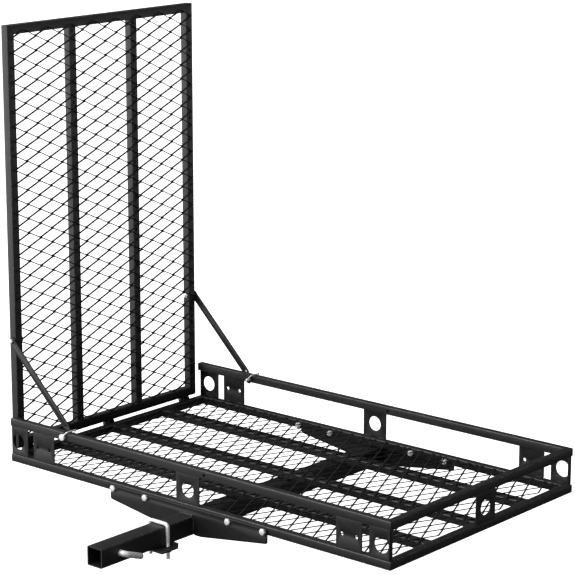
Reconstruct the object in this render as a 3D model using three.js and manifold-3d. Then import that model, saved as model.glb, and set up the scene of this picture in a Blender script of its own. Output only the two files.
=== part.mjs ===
// Hitch-mounted mobility carrier: a mesh deck with low side rails on a hitch
// tube, and a mesh ramp hinged at one end of the deck.
// Millimetres, +Z up. The origin is on the open end of the hitch tube, at the
// middle of its lower wall. +Y points away from the vehicle along the hitch
// tube, +X along the deck away from the ramp. Front is the vehicle side (low Y).
// Pieces are placed in deck coordinates: X 0..DECK_L, Y 0..DECK_W, and Z 0 at
// the deck's underside.
import * as THREE from 'three';
import { mergeVertices } from 'three/addons/utils/BufferGeometryUtils.js';
import Module from 'manifold-3d';

const wasm = await Module();
wasm.setup();

// --------------------------------------------------------- shared dimensions
const DECK_L = 1300;        // along X
const DECK_W = 762;         // along Y
const CENTRE_X = DECK_L / 2;
const CENTRE_Y = DECK_W / 2;
const FRAME = 22;           // deck frame tube, outside width and height
const BAR_TOP = 19;         // top of the channels under the deck mesh
const PLATE_T = 3;          // wall of the channels and posts
const TUBE_WALL = 1.6;      // wall of the rail and ramp tubes
const GAP = 0.3;            // assembly gap between neighbouring pieces
const JOIN = 0.8;           // how far posts and knuckles run into their tube
const THROUGH = 5;          // how far a cutting tool passes beyond the piece

const RAIL_TOP = 121;
const RAIL_H = 22;
const RAIL_W = 20;
const RAIL_Z0 = RAIL_TOP - RAIL_H;
const RAIL_INSET = 0.4;     // rail ends set in from the deck corners
const POST_INSET = 0.5;     // outer face of a post from the deck's edge
const POST_Z0 = FRAME + GAP;
const POST_Z1 = RAIL_Z0 + JOIN;
const POST_HOLE_Z = 59.5;
const MID_HOLE_D = 41;      // hole in the middle post of each rail

const HITCH = 50;           // hitch tube, outside
const HITCH_WALL = 3;
const HITCH_CORNER = 4;     // outside corner radius
const HITCH_X0 = CENTRE_X - HITCH / 2;
const HITCH_X1 = CENTRE_X + HITCH / 2;
const HITCH_Y0 = -330;      // free end
const HITCH_Z1 = -3.3;
const HITCH_Z0 = HITCH_Z1 - HITCH;
const HITCH_Z = HITCH_Z1 - HITCH / 2;
const HITCH_PIN_Y = -266;
const HITCH_PIN_R = 7.9;

const BRACKET_T = 5;
const BRACKET_BOLT_X = [-258, -142.5, 142.5, 258].map((offset) => CENTRE_X + offset);
const BRACKET_BOLT_Z = 9;
const BRACKET_HOLE_D = 10.8;

const RAMP_X0 = -24.5;      // outer face, ramp folded up
const RAMP_X1 = -1.5;       // inner face
const RAMP_Y0 = CENTRE_Y - 353;
const RAMP_Y1 = CENTRE_Y + 353;
const RAMP_Z0 = 28.5;
const RAMP_Z1 = 1176;
const RAMP_TUBE = 25;       // width of the ramp tubes in the plane of the ramp

const HINGE_X = -11.5;      // ramp hinge axis
const HINGE_Z = 20;
const HINGE_Y = [-311, 0, 311].map((offset) => CENTRE_Y + offset);

const ARM_PIVOT = [-11.5, 329];     // x, z of the support arm's pivot on the ramp
const LOCK_PIN = [203.5, 108.5];    // x, z of the lock pin

// Hexagon fasteners: width across flats, head height, shank radius, nut.
const LARGE_BOLT = { flats: 15.5, head: 6, radius: 5, nutHole: 10.7, nutHeight: 8 };
const SMALL_BOLT = { flats: 13, head: 5.3, radius: 4, nutHole: 8.7, nutHeight: 6.5 };
const PIVOT_HOLE_D = 2 * SMALL_BOLT.radius + 0.8;   // in the ramp and the arms

// ------------------------------------------------------------------ outlines
const rect = (x0, x1, y0, y1) => [[x0, y0], [x1, y0], [x1, y1], [x0, y1]];

function arc(cx, cy, radius, start, sweep, steps) {
  return Array.from({ length: steps + 1 }, (_, i) => {
    const angle = start + (sweep * i) / steps;
    return [cx + radius * Math.cos(angle), cy + radius * Math.sin(angle)];
  });
}

const circle = (cx, cy, radius, sides, phase = 0) => (
  arc(cx, cy, radius, phase, 2 * Math.PI, sides).slice(0, -1));

// A hole's polygon lies outside its circle, so the stated diameter stays clear.
const bore = (cx, cy, diameter, sides = 12) => (
  circle(cx, cy, diameter / 2 / Math.cos(Math.PI / sides), sides, Math.PI / sides));

const hexagon = (cx, cy, flats) => circle(cx, cy, flats / 2 / Math.cos(Math.PI / 6), 6);

// A rectangle of the given width whose centre line runs between two points.
function strip([x0, y0], [x1, y1], width) {
  const scale = width / 2 / Math.hypot(x1 - x0, y1 - y0);
  const dx = -(y1 - y0) * scale;
  const dy = (x1 - x0) * scale;
  return [[x0 - dx, y0 - dy], [x1 - dx, y1 - dy], [x1 + dx, y1 + dy], [x0 + dx, y0 + dy]];
}

// -------------------------------------------------------------------- shapes
function box(x0, x1, y0, y1, z0, z1) {
  const geometry = new THREE.BoxGeometry(x1 - x0, y1 - y0, z1 - z0);
  geometry.translate((x0 + x1) / 2, (y0 + y1) / 2, (z0 + z1) / 2);
  return geometry;
}

const shapeOf = (points) => new THREE.Shape(points.map(([x, y]) => new THREE.Vector2(x, y)));

// A prism of a polygon: axis 'x' takes (y, z) points, 'y' takes (x, z), 'z' takes (x, y).
function prism(points, axis, start, end, holes = []) {
  const shape = shapeOf(points);
  shape.holes = holes.map(shapeOf);
  const geometry = new THREE.ExtrudeGeometry(shape, {
    depth: end - start, bevelEnabled: false, steps: 1,
  });
  const matrix = new THREE.Matrix4();
  if (axis === 'x') matrix.set(0, 0, 1, start, 1, 0, 0, 0, 0, 1, 0, 0, 0, 0, 0, 1);
  else if (axis === 'y') matrix.set(1, 0, 0, 0, 0, 0, -1, end, 0, 1, 0, 0, 0, 0, 0, 1);
  else matrix.makeTranslation(0, 0, start);
  geometry.applyMatrix4(matrix);
  return geometry;
}

// A tool that bores along Y through a piece lying between y0 and y1.
const drillY = (x, z, diameter, y0, y1, sides) => (
  prism(bore(x, z, diameter, sides), 'y', y0 - THROUGH, y1 + THROUGH));

function toSolid(shape) {
  if (!shape.isBufferGeometry) return shape;
  const bare = shape.clone();
  bare.deleteAttribute('normal');
  bare.deleteAttribute('uv');
  const merged = mergeVertices(bare, 1e-4);
  return new wasm.Manifold(new wasm.Mesh({
    numProp: 3,
    vertProperties: merged.attributes.position.array,
    triVerts: new Uint32Array(merged.index.array),
  }));
}

const union = (...shapes) => shapes.map(toSolid).reduce((a, b) => a.add(b));
const cut = (body, ...tools) => (
  tools.reduce((rest, tool) => rest.subtract(toSolid(tool)), toSolid(body)));

function geometryOf(manifold) {
  const mesh = manifold.getMesh();
  const indexed = new THREE.BufferGeometry();
  indexed.setAttribute('position', new THREE.BufferAttribute(mesh.vertProperties, 3));
  indexed.setIndex(new THREE.BufferAttribute(mesh.triVerts, 1));
  const flat = indexed.toNonIndexed();
  flat.computeVertexNormals();
  return flat;
}

// Mirrors a non-indexed geometry front to rear about the middle of the deck,
// with the faces turned back out.
function toRear(geometry) {
  const mirrored = geometry.clone();
  mirrored.applyMatrix4(new THREE.Matrix4().makeScale(1, -1, 1));
  mirrored.translate(0, DECK_W, 0);
  const { array } = mirrored.attributes.position;
  for (let i = 0; i < array.length; i += 9) {
    for (let k = i; k < i + 3; k += 1) {
      [array[k], array[k + 3]] = [array[k + 3], array[k]];
    }
  }
  mirrored.computeVertexNormals();
  return mirrored;
}

// ----------------------------------------------------------------- bent rods
// A path of straight runs with rounded corners.
function bentPath(points, bendRadius, arcSteps) {
  const path = [points[0]];
  for (let i = 1; i < points.length - 1; i += 1) {
    const corner = points[i];
    const back = points[i - 1].clone().sub(corner).normalize();
    const ahead = points[i + 1].clone().sub(corner).normalize();
    const half = back.angleTo(ahead) / 2;
    const setback = bendRadius / Math.tan(half);
    const centre = corner.clone()
      .addScaledVector(back.clone().add(ahead).normalize(), bendRadius / Math.sin(half));
    const first = corner.clone().addScaledVector(back, setback).sub(centre);
    const last = corner.clone().addScaledVector(ahead, setback).sub(centre);
    const axis = first.clone().cross(last).normalize();
    const sweep = first.angleTo(last);
    for (let k = 0; k <= arcSteps; k += 1) {
      path.push(first.clone().applyAxisAngle(axis, (sweep * k) / arcSteps).add(centre));
    }
  }
  path.push(points[points.length - 1]);
  return path;
}

// A sweep path that puts one ring of vertices at each exact point, on the
// plane that halves the bend there.
class PointPath extends THREE.Curve {
  constructor(points) {
    super();
    this.points = points;
  }

  direction(i) {
    return this.points[i + 1].clone().sub(this.points[i]).normalize();
  }

  getTangentAt(t) {
    const last = this.points.length - 1;
    const i = Math.round(t * last);
    const before = this.direction(Math.max(i - 1, 0));
    const after = this.direction(Math.min(i, last - 1));
    return before.add(after).normalize();
  }

  getSpacedPoints() {
    return this.points;
  }
}

// A round rod through corners given as [x, y, z].
function bentRod(corners, { bendRadius, radius, sides, arcSteps }) {
  const points = corners.map((corner) => new THREE.Vector3(...corner));
  const path = bentPath(points, bendRadius, arcSteps);
  return new THREE.ExtrudeGeometry(shapeOf(circle(0, 0, radius, sides)), {
    steps: path.length - 1, bevelEnabled: false, extrudePath: new PointPath(path),
  });
}

// ----------------------------------------------------------------- fasteners
// The underside of the head is at y; the shank runs towards +Y from there.
function hexBolt(size, x, y, z, length) {
  const headOverlap = 1;
  return union(
    prism(hexagon(x, z, size.flats), 'y', y - size.head, y),
    prism(circle(x, z, size.radius, 12), 'y', y - headOverlap, y + length));
}

const hexNut = (size, x, y, z) => (
  prism(hexagon(x, z, size.flats), 'y', y, y + size.nutHeight, [bore(x, z, size.nutHole)]));

// ------------------------------------------------------------- expanded mesh
const MESH_T = 3;           // thickness of the sheet
const LONG_PITCH = 170;     // long way of one opening, along Y
const SHORT_PITCH = 81;     // short way of one opening
const RAMP_SHORT_PITCH = 0.975 * SHORT_PITCH;
const STRAND = 6;           // width of a strand
const MESH_BORDER = 5;      // solid border round the sheet
const MIN_OPENING = 0.06;   // smallest clipped opening kept, as a share of a full one

function clipPolygon(polygon, axis, limit, keepBelow) {
  const inside = (point) => (keepBelow ? point[axis] <= limit : point[axis] >= limit);
  const clipped = [];
  polygon.forEach((a, i) => {
    const b = polygon[(i + 1) % polygon.length];
    if (inside(a)) clipped.push(a);
    if (inside(a) !== inside(b)) {
      const t = (limit - a[axis]) / (b[axis] - a[axis]);
      clipped.push([a[0] + t * (b[0] - a[0]), a[1] + t * (b[1] - a[1])]);
    }
  });
  return clipped;
}

function area(polygon) {
  return Math.abs(polygon.reduce((sum, a, i) => {
    const b = polygon[(i + 1) % polygon.length];
    return sum + a[0] * b[1] - a[1] * b[0];
  }, 0)) / 2;
}

// Diamond openings of a sheet, long way along u and short way along v, each
// clipped to the inside of the sheet's border.
function diamonds(u0, u1, v0, v1, shortPitch) {
  const halfLong = LONG_PITCH / 2;
  const halfShort = shortPitch / 2;
  const sideDistance = (halfLong * halfShort) / Math.hypot(halfLong, halfShort);
  const scale = (sideDistance - STRAND / 2) / sideDistance;
  const du = scale * halfLong;
  const dv = scale * halfShort;
  const uCount = Math.ceil((u1 - u0) / halfLong) + 2;
  const vCount = Math.ceil((v1 - v0) / halfShort) + 2;
  const limits = [      // axis, limit, keep the part below it
    [0, u0 + MESH_BORDER, false], [0, u1 - MESH_BORDER, true],
    [1, v0 + MESH_BORDER, false], [1, v1 - MESH_BORDER, true],
  ];
  const openings = [];
  for (let i = -uCount; i <= uCount; i += 1) {
    for (let j = -vCount; j <= vCount; j += 1) {
      if ((i + j) % 2 !== 0) continue;
      const u = (u0 + u1) / 2 + i * halfLong;
      const v = (v0 + v1) / 2 + j * halfShort;
      const full = [[u - du, v], [u, v - dv], [u + du, v], [u, v + dv]];
      const opening = limits.reduce((polygon, limit) => clipPolygon(polygon, ...limit), full);
      if (area(opening) > MIN_OPENING * 2 * du * dv) openings.push(opening);
    }
  }
  return openings;
}

// ----------------------------------------------------------------- materials
const material = (color, roughness, metalness) => (
  new THREE.MeshStandardMaterial({ color, roughness, metalness }));
const PAINT_FINISH = [0.45, 0.1];       // roughness, metalness
const paint = material(0x1c1c1e, ...PAINT_FINISH);
const meshPaint = material(0x202022, ...PAINT_FINISH);
const zinc = material(0xc9ccd0, 0.28, 1);
const chrome = material(0xdde0e4, 0.12, 1);

// --------------------------------------------------------------------- model
const model = new THREE.Group();
const carrier = new THREE.Group();      // holds the deck coordinates
carrier.position.set(-CENTRE_X, -HITCH_Y0, -(HITCH_Z0 + HITCH_WALL / 2));
model.add(carrier);

function add(name, shape, finish) {
  const geometry = shape.isBufferGeometry ? shape : geometryOf(shape);
  const mesh = new THREE.Mesh(geometry, finish);
  mesh.name = name;
  carrier.add(mesh);
  return mesh;
}

// Adds a front piece and its mirror image at the rear.
function addPair(name, shape, finish) {
  const front = add(name, shape, finish);
  add(name.replace('front', 'rear'), toRear(front.geometry), finish);
}

// ---------------------------------------------------------------- hitch tube
function hitchTube() {
  const y1 = DECK_W + GAP + BRACKET_T;
  const section = (size, radius, steps) => {
    const offset = size / 2 - radius;
    return [[1, 1], [-1, 1], [-1, -1], [1, -1]].flatMap(([sideX, sideZ], quarter) => arc(
      CENTRE_X + sideX * offset, HITCH_Z + sideZ * offset, radius,
      (quarter * Math.PI) / 2, Math.PI / 2, steps));
  };
  const innerCorner = HITCH_CORNER - HITCH_WALL + 0.5;
  return cut(
    prism(section(HITCH, HITCH_CORNER, 3), 'y', HITCH_Y0, y1),
    prism(section(HITCH - 2 * HITCH_WALL, innerCorner, 2), 'y', HITCH_Y0 - THROUGH, y1 + THROUGH),
    prism(bore(HITCH_PIN_Y, HITCH_Z, 2 * HITCH_PIN_R + 1, 20), 'x',
      HITCH_X0 - THROUGH, HITCH_X1 + THROUGH));
}
add('hitch_tube', hitchTube(), paint);

// ------------------------------------------------ bracket plates and bolts
// Plates across the ends of the deck's width, notched over the hitch tube.
function bracket() {
  const halfLength = 269;
  const halfFoot = 50;      // half length of the lowest edge
  const top = 17;
  const endLow = -21;       // lower corner at each end
  const low = HITCH_Z0 - 0.2;
  const outline = [
    [CENTRE_X - halfLength, top], [CENTRE_X - halfLength, endLow],
    [CENTRE_X - halfFoot, low], [HITCH_X0 - GAP, low],
    [HITCH_X0 - GAP, HITCH_Z1 + GAP], [HITCH_X1 + GAP, HITCH_Z1 + GAP],
    [HITCH_X1 + GAP, low], [CENTRE_X + halfFoot, low],
    [CENTRE_X + halfLength, endLow], [CENTRE_X + halfLength, top],
  ];
  const holes = BRACKET_BOLT_X.map((x) => bore(x, BRACKET_BOLT_Z, BRACKET_HOLE_D));
  return prism(outline, 'y', -GAP - BRACKET_T, -GAP, holes);
}
addPair('bracket_front', bracket(), paint);
BRACKET_BOLT_X.forEach((x, i) => {
  const headY = -GAP - BRACKET_T - GAP;
  const nutY = FRAME + GAP;
  addPair(`bracket_front_bolt_${i + 1}`, hexBolt(LARGE_BOLT, x, headY, BRACKET_BOLT_Z, 39), zinc);
  addPair(`bracket_front_nut_${i + 1}`, hexNut(LARGE_BOLT, x, nutY, BRACKET_BOLT_Z), zinc);
});

// ---------------------------------------------------------------- deck frame
// A square tube all round, and three channels along X, open below.
function deckFrame() {
  const wall = 2;
  const barW = 32;
  const barZ0 = 0.4;
  const barOverlap = 1;     // each channel end runs into the frame tube
  const barY = [-203, 0, 203].map((offset) => CENTRE_Y + offset);
  // A closed ring of the frame's section, shrunk on every side by the inset.
  const opening = (inset) => box(FRAME - inset, DECK_L - FRAME + inset,
    FRAME - inset, DECK_W - FRAME + inset, -THROUGH, FRAME + THROUGH);
  const hollow = cut(
    box(wall, DECK_L - wall, wall, DECK_W - wall, wall, FRAME - wall), opening(wall));
  const holes = BRACKET_BOLT_X.flatMap((x) => [
    drillY(x, BRACKET_BOLT_Z, BRACKET_HOLE_D, 0, FRAME),
    drillY(x, BRACKET_BOLT_Z, BRACKET_HOLE_D, DECK_W - FRAME, DECK_W)]);
  const ring = cut(box(0, DECK_L, 0, DECK_W, 0, FRAME), opening(0), hollow, ...holes);
  const bars = barY.map((y) => cut(
    box(FRAME - barOverlap, DECK_L - FRAME + barOverlap,
      y - barW / 2, y + barW / 2, barZ0, BAR_TOP),
    box(FRAME - THROUGH, DECK_L - FRAME + THROUGH,
      y - barW / 2 + PLATE_T, y + barW / 2 - PLATE_T, -THROUGH, BAR_TOP - PLATE_T)));
  return union(ring, ...bars);
}
add('deck_frame', deckFrame(), paint);

// Deck mesh, lying on the channels inside the frame.
function deckMesh() {
  const edge = FRAME + GAP;
  const x1 = DECK_L - edge;
  const y1 = DECK_W - edge;
  const z0 = BAR_TOP + GAP;
  const holes = diamonds(edge, y1, edge, x1, SHORT_PITCH)
    .map((opening) => opening.map(([y, x]) => [x, y]).reverse());
  return prism(rect(edge, x1, edge, y1), 'z', z0, z0 + MESH_T, holes);
}
add('deck_mesh', deckMesh(), meshPaint);

// ---------------------------------------------------------------- side rails
// A tube along X, mitred at the end rail, on five posts with an end tab at
// each end.
function sideRail() {
  const tabX = [2.5, 1293.5];       // low-X faces of the tabs
  const tabY1 = 13;
  const outer = prism([[0, 0], [DECK_L - RAIL_INSET, 0],
    [DECK_L - RAIL_INSET - RAIL_W, RAIL_W], [0, RAIL_W]], 'z', RAIL_Z0, RAIL_TOP);
  const inner = box(-THROUGH, DECK_L + THROUGH, TUBE_WALL, RAIL_W - TUBE_WALL,
    RAIL_Z0 + TUBE_WALL, RAIL_TOP - TUBE_WALL);
  const tube = cut(outer, inner,
    drillY(...LOCK_PIN, 9, 0, RAIL_W),
    drillY(707.5, 110, 8, 0, RAIL_W));

  const mirrorX = (hole) => hole.map(([x, z]) => [DECK_L - x, z]).reverse();
  const cornerHole = bore(28, POST_HOLE_Z, 43, 24);
  const boltHoles = [103.5, 148].map((x) => bore(x, POST_HOLE_Z, 9.5));
  const posts = [       // x0, x1, holes
    [tabX[0], 65, [cornerHole]],
    [87, 166, boltHoles],
    [CENTRE_X - 39.5, CENTRE_X + 39.5, [bore(CENTRE_X, POST_HOLE_Z, MID_HOLE_D, 24)]],
    [DECK_L - 166, DECK_L - 87, boltHoles.map(mirrorX)],
    [DECK_L - 65, tabX[1] + PLATE_T, [mirrorX(cornerHole)]],
  ].map(([x0, x1, holes]) => prism(
    rect(x0, x1, POST_Z0, POST_Z1), 'y', POST_INSET, POST_INSET + PLATE_T, holes));
  const tabs = tabX.map((x) => (
    box(x, x + PLATE_T, POST_INSET, tabY1, POST_Z0, RAIL_Z0 - GAP)));
  return union(tube, ...posts, ...tabs);
}
addPair('front_rail', sideRail(), paint);

// The rail across the end of the deck away from the ramp, mitred at both ends.
function endRail() {
  const x0 = DECK_L - RAIL_W;
  const y0 = RAIL_INSET;
  const y1 = DECK_W - RAIL_INSET;
  const outer = prism([[DECK_L, y0], [DECK_L, y1], [x0, y1 - RAIL_W], [x0, y0 + RAIL_W]],
    'z', RAIL_Z0, RAIL_TOP);
  const inner = box(x0 + TUBE_WALL, DECK_L - TUBE_WALL, -THROUGH, DECK_W + THROUGH,
    RAIL_Z0 + TUBE_WALL, RAIL_TOP - TUBE_WALL);
  const post = prism(rect(CENTRE_Y - 40, CENTRE_Y + 40, POST_Z0, POST_Z1), 'x',
    DECK_L - POST_INSET - PLATE_T, DECK_L - POST_INSET,
    [bore(CENTRE_Y, POST_HOLE_Z, MID_HOLE_D, 24)]);
  return union(cut(outer, inner), post);
}
add('end_rail', endRail(), paint);

// ---------------------------------------------------------------------- ramp
// Four upright tubes and two cross tubes, with hinge knuckles below.
function rampFrame() {
  const sideBars = [[RAMP_Y0, RAMP_Y0 + RAMP_TUBE], [RAMP_Y1 - RAMP_TUBE, RAMP_Y1]];
  const midBars = [-116.5, 116.5].map((offset) => (
    [CENTRE_Y + offset - RAMP_TUBE / 2, CENTRE_Y + offset + RAMP_TUBE / 2]));
  const rails = [[RAMP_Z0, RAMP_Z0 + RAMP_TUBE], [RAMP_Z1 - RAMP_TUBE, RAMP_Z1]];
  const tubes = (inset) => {
    const member = (y0, y1, z0, z1) => box(RAMP_X0 + inset, RAMP_X1 - inset,
      y0 + inset, y1 - inset, z0 + inset, z1 - inset);
    return union(
      ...[...sideBars, ...midBars].map(([y0, y1]) => member(y0, y1, RAMP_Z0, RAMP_Z1)),
      ...rails.map(([z0, z1]) => member(RAMP_Y0, RAMP_Y1, z0, z1)));
  };
  const drains = [-231, 231].map((offset) => prism(
    bore(HINGE_X, CENTRE_Y + offset, 6, 10), 'z', RAMP_Z0 - THROUGH, RAMP_Z0 + THROUGH));
  const hollow = cut(tubes(0), tubes(TUBE_WALL), ...drains);

  const knuckleR = 7.5;
  const knuckleHalfW = 6;
  const knuckleOutline = [
    ...arc(HINGE_X, HINGE_Z, knuckleR, Math.PI, Math.PI, 8),
    [HINGE_X + knuckleR, RAMP_Z0 + JOIN], [HINGE_X - knuckleR, RAMP_Z0 + JOIN]];
  const knuckles = HINGE_Y.map((y) => prism(knuckleOutline, 'y',
    y - knuckleHalfW, y + knuckleHalfW, [bore(HINGE_X, HINGE_Z, PIVOT_HOLE_D)]));
  const pivotHoles = sideBars.map(([y0, y1]) => drillY(...ARM_PIVOT, PIVOT_HOLE_D, y0, y1));
  return cut(union(hollow, ...knuckles), ...pivotHoles);
}
add('ramp_frame', rampFrame(), paint);

function rampMesh() {
  const inset = 8;
  const x0 = RAMP_X1 + GAP;
  const sheet = [RAMP_Y0 + inset, RAMP_Y1 - inset, RAMP_Z0 + inset, RAMP_Z1 - inset];
  return prism(rect(...sheet), 'x', x0, x0 + MESH_T, diamonds(...sheet, RAMP_SHORT_PITCH));
}
add('ramp_mesh', rampMesh(), meshPaint);

// --------------------------------------------------------------- ramp hinges
const EAR_OUT = 11;         // outer face of an ear from the middle of its hinge
const EAR_IN = 7;           // inner face

// Two ears on a back plate against the end of the deck frame.
function hingeBracket(y) {
  const low = 3;
  const outline = [[-GAP, low],
    ...arc(HINGE_X, HINGE_Z, 8.2, -Math.PI / 2, -Math.PI, 10), [-GAP, 24]].reverse();
  const ear = (y0, y1) => prism(outline, 'y', y0, y1, [bore(HINGE_X, HINGE_Z, 8.6)]);
  return union(ear(y - EAR_OUT, y - EAR_IN), ear(y + EAR_IN, y + EAR_OUT),
    box(-3.1, -GAP, y - EAR_OUT, y + EAR_OUT, low, 19.5));
}
HINGE_Y.forEach((y, i) => {
  const headY = y - EAR_OUT - GAP;
  const nutY = y + EAR_OUT + GAP;
  add(`hinge_bracket_${i + 1}`, hingeBracket(y), paint);
  add(`hinge_bolt_${i + 1}`, hexBolt(SMALL_BOLT, HINGE_X, headY, HINGE_Z, 31), paint);
  add(`hinge_nut_${i + 1}`, hexNut(SMALL_BOLT, HINGE_X, nutY, HINGE_Z), paint);
});

// -------------------------------------------------------------- support arms
const ARM_Y0 = 21;          // the front arm lies between these planes
const ARM_Y1 = 25.5;

// A flat bar from the ramp pivot to a knee and on to a fork over the lock pin.
function supportArm() {
  const width = 20;
  const knee = [191, 131];
  const flat = (outline) => prism(outline, 'y', ARM_Y0, ARM_Y1);
  const disc = (centre, radius) => flat(circle(...centre, radius, 20));
  const body = union(flat(strip(ARM_PIVOT, knee, width)),
    disc(ARM_PIVOT, width / 2), disc(knee, width / 2),
    flat(strip(knee, LOCK_PIN, width)), disc(LOCK_PIN, 12));
  // The fork opens the way the lock pin leaves the arm as the ramp starts to fold.
  const slotEnd = [LOCK_PIN[0] + 16, LOCK_PIN[1] - 12];
  const slot = prism(strip(LOCK_PIN, slotEnd, 9.6), 'y', ARM_Y0 - THROUGH, ARM_Y1 + THROUGH);
  return cut(body, slot,
    drillY(...LOCK_PIN, 9.4, ARM_Y0, ARM_Y1),
    drillY(...ARM_PIVOT, PIVOT_HOLE_D, ARM_Y0, ARM_Y1),
    drillY(192.5, 132.5, 6.5, ARM_Y0, ARM_Y1, 10));
}
addPair('arm_front', supportArm(), paint);
{
  const [x, z] = ARM_PIVOT;
  const washer = prism(circle(x, z, 8, 16), 'y', ARM_Y1 + GAP, RAMP_Y0 - GAP,
    [bore(x, z, SMALL_BOLT.nutHole)]);
  addPair('arm_bolt_front', hexBolt(SMALL_BOLT, x, ARM_Y0 - GAP, z, 42), zinc);
  addPair('arm_washer_front', washer, zinc);
  addPair('arm_nut_front', hexNut(SMALL_BOLT, x, RAMP_Y0 + RAMP_TUBE + GAP, z), zinc);
}

// -------------------------------------------------- ramp lock pins and bails
function lockPin() {
  return union(
    prism(circle(...LOCK_PIN, 9, 20), 'y', -8.5, -GAP),
    prism(circle(...LOCK_PIN, 4, 14), 'y', -3, 36));
}

// A wire loop from the pin's head round to its tip, leaning 45 degrees to +X.
function lockBail() {
  const corners = [[11, -4.4], [24, -4.4], [24, 33], [5.6, 33]]     // from the pin's axis, y
    .map(([reach, y]) => (
      [LOCK_PIN[0] + reach * Math.SQRT1_2, y, LOCK_PIN[1] + reach * Math.SQRT1_2]));
  return bentRod(corners, { bendRadius: 6, radius: 1.5, sides: 8, arcSteps: 4 });
}
addPair('lock_pin_front', lockPin(), zinc);
addPair('lock_bail_front', lockBail(), chrome);

// -------------------------------------------------------- hitch pin and clip
const CLIP_X = 610.5;

// The handle turns square to the shaft and droops a little.
function hitchPin() {
  const tipX = 596;
  const bendX = HITCH_X1 + 16;
  const handle = 60;
  const droop = THREE.MathUtils.degToRad(20);
  const shaft = bentRod([
    [tipX, HITCH_PIN_Y, HITCH_Z],
    [bendX, HITCH_PIN_Y, HITCH_Z],
    [bendX, HITCH_PIN_Y + handle * Math.cos(droop), HITCH_Z - handle * Math.sin(droop)],
  ], { bendRadius: 13, radius: HITCH_PIN_R, sides: 16, arcSteps: 5 });
  return cut(shaft, drillY(CLIP_X, HITCH_Z, 4.6,
    HITCH_PIN_Y - HITCH_PIN_R, HITCH_PIN_Y + HITCH_PIN_R, 10));
}

function hitchClip() {
  const corners = [     // y, z from the pin's axis
    [-24, 0], [42, 0], [42, -15], [12, -15], [-1, -10.4], [-18, -15],
  ].map(([y, z]) => [CLIP_X, HITCH_PIN_Y + y, HITCH_Z + z]);
  return bentRod(corners, { bendRadius: 5, radius: 1.75, sides: 8, arcSteps: 3 });
}
add('hitch_pin', hitchPin(), chrome);
add('hitch_clip', hitchClip(), chrome);

// --------------------------------------------------- anti-rattle stabiliser
const U_BOLT_Y = -104.5;
const U_BOLT_R = 5;
const U_BOLT_LEG = HITCH / 2 + GAP + U_BOLT_R;      // leg centre from the tube's middle
const STABILISER_TOP = HITCH_Z0 - GAP - 0.4;
const STABILISER_LOW = STABILISER_TOP - 5;

function stabiliserPlate() {
  const x0 = CENTRE_X - 54;
  const x1 = CENTRE_X + 54;
  const y0 = -150;
  const y1 = -91;
  const base = prism(rect(x0, x1, y0, y1), 'z', STABILISER_LOW, STABILISER_TOP,
    [-U_BOLT_LEG, U_BOLT_LEG].map((offset) => bore(CENTRE_X + offset, U_BOLT_Y, 11)));
  // An upright lip along the rear edge is interrupted where the hitch tube passes.
  const lip = (start, end) => (
    box(start, end, y1 - 4.5, y1, STABILISER_TOP - 1, STABILISER_TOP + 10));
  return union(base, lip(x0, HITCH_X0 - 1), lip(HITCH_X1 + 1, x1));
}

function uBolt() {
  const low = -88;
  const top = HITCH_Z1 + GAP + U_BOLT_R;
  const corners = [[-1, low], [-1, top], [1, top], [1, low]]
    .map(([side, z]) => [CENTRE_X + side * U_BOLT_LEG, U_BOLT_Y, z]);
  const bendRadius = HITCH_CORNER + GAP + U_BOLT_R;
  return bentRod(corners, { bendRadius, radius: U_BOLT_R, sides: 12, arcSteps: 6 });
}
add('stabiliser_plate', stabiliserPlate(), paint);
add('u_bolt', uBolt(), chrome);
[['left', -1], ['right', 1]].forEach(([side, sign]) => {
  const x = CENTRE_X + sign * U_BOLT_LEG;
  const washerTop = STABILISER_LOW - GAP;
  const washerLow = washerTop - 2;
  const nutTop = washerLow - GAP;
  const hole = bore(x, U_BOLT_Y, 10.7);
  add(`u_bolt_washer_${side}`,
    prism(circle(x, U_BOLT_Y, 10, 16), 'z', washerLow, washerTop, [hole]), zinc);
  add(`u_bolt_nut_${side}`,
    prism(hexagon(x, U_BOLT_Y, 16), 'z', nutTop - 8, nutTop, [hole]), zinc);
});

export default model;
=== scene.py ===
"""Hitch-mounted mobility carrier: a railed mesh deck, an upright mesh ramp and a hitch tube.

Lengths are millimetres in deck coordinates: X along the deck from the ramp end, Y across it
from the vehicle side (front) to the rear, Z up from the deck's underside. The floor, lights
and camera are in metres in the scene's frame.
"""
import math

import bmesh
import bpy
import numpy as np
from mathutils import Matrix, Vector
from mathutils.geometry import tessellate_polygon


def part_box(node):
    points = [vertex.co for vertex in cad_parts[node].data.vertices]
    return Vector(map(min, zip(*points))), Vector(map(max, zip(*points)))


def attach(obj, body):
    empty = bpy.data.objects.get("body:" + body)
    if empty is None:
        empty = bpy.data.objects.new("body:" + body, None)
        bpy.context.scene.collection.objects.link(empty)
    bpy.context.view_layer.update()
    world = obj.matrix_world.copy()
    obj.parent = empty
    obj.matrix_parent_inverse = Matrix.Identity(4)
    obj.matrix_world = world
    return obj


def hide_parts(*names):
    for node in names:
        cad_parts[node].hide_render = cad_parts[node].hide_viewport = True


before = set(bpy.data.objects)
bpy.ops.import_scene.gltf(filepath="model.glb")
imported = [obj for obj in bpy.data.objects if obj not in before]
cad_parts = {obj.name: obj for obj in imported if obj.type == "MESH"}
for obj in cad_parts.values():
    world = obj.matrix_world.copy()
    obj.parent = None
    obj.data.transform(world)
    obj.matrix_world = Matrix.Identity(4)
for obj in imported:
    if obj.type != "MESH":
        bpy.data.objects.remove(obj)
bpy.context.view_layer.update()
ORIGIN = np.array(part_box("deck_frame")[0], float)
scene = bpy.context.scene

# ------------------------------------------------------------------ dimensions
X, Y, Z = (1, 0, 0), (0, 1, 0), (0, 0, 1)
DOWN = (0, 0, -1)
SIDES = ("front", "rear")

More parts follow.
